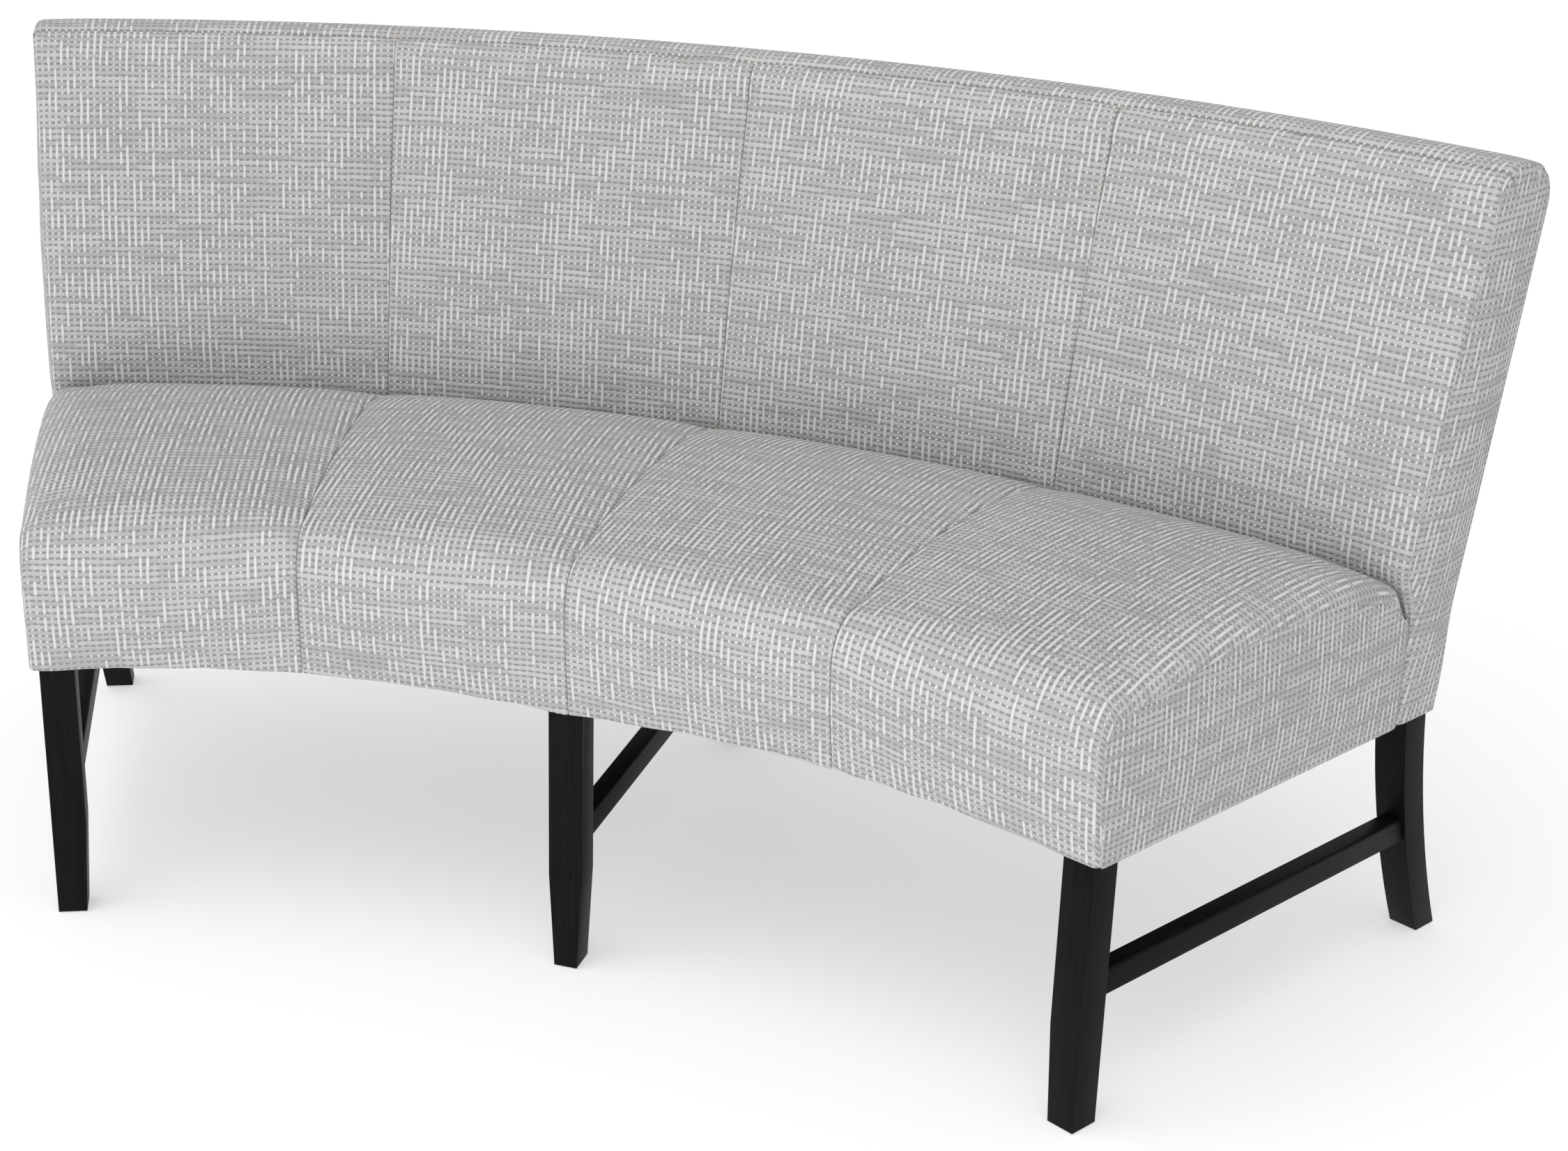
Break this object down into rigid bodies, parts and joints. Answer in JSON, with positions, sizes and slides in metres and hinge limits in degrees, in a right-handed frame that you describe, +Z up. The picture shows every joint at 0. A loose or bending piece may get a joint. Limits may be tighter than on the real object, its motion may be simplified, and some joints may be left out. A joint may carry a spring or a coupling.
{
  "type": "upholstered banquette bench",
  "caption": "Curved, armless dining banquette with a woven fabric seat and raked back on dark wooden legs with side stretchers.",
  "frame": {"origin": "centre of the bench's box, on the floor", "axes": "+X along the bench's width, +Y from the sitter's side to the rear, +Z up"},
  "size_m": [1.7376, 0.7565, 0.885],
  "materials": {
    "cover_fabric": "coarse slub basket weave, cream and pale grey",
    "black_wood": "satin near-black stain over close-grained hardwood",
    "frame_wood": "unfinished planed hardwood",
    "plywood": "bent plywood, sanded",
    "fibreboard": "thin hardboard",
    "foam": "upholstery foam with a fibre wrap",
    "wadding": "polyester wadding",
    "webbing": "elastic webbing",
    "hessian": "hessian cloth",
    "dust_cloth": "thin black non-woven cloth",
    "screw_steel": "zinc-plated screws",
    "glide_plastic": "dark nylon glides"
  },
  "bodies": {
    "root": {"front_leg_left": "black_wood", "front_leg_middle": "black_wood", "front_leg_right": "black_wood", "rear_leg_left": "black_wood", "rear_leg_middle": "black_wood", "rear_leg_right": "black_wood", "foot_glides": "glide_plastic", "stretcher_left": "black_wood", "stretcher_middle": "black_wood", "stretcher_right": "black_wood", "front_rail_left": "frame_wood", "front_rail_right": "frame_wood", "rear_rail_left": "frame_wood", "rear_rail_right": "frame_wood", "end_rail_left": "frame_wood", "end_rail_right": "frame_wood", "middle_rail": "frame_wood", "back_lower_rail_left": "frame_wood", "back_lower_rail_right": "frame_wood", "back_top_rail_left": "frame_wood", "back_top_rail_right": "frame_wood", "corner_blocks": "frame_wood", "block_screws": "screw_steel", "rail_dowels": "frame_wood", "seat_webbing": "webbing", "seat_hessian": "hessian", "seat_foam": "foam", "front_wadding": "wadding", "end_wadding_left": "wadding", "end_wadding_right": "wadding", "back_support_panel": "plywood", "back_foam": "foam", "top_wadding": "wadding", "outside_back_lining": "fibreboard", "seat_cover_panel_1": "cover_fabric", "seat_cover_panel_2": "cover_fabric", "seat_cover_panel_3": "cover_fabric", "seat_cover_panel_4": "cover_fabric", "seat_end_gusset_left": "cover_fabric", "seat_end_gusset_right": "cover_fabric", "back_cover_panel_1": "cover_fabric", "back_cover_panel_2": "cover_fabric", "back_cover_panel_3": "cover_fabric", "back_cover_panel_4": "cover_fabric", "back_top_band": "cover_fabric", "back_end_gusset_left": "cover_fabric", "back_end_gusset_right": "cover_fabric", "outside_back_cover": "cover_fabric", "dust_cover": "dust_cloth"}
  },
  "joints": []
}
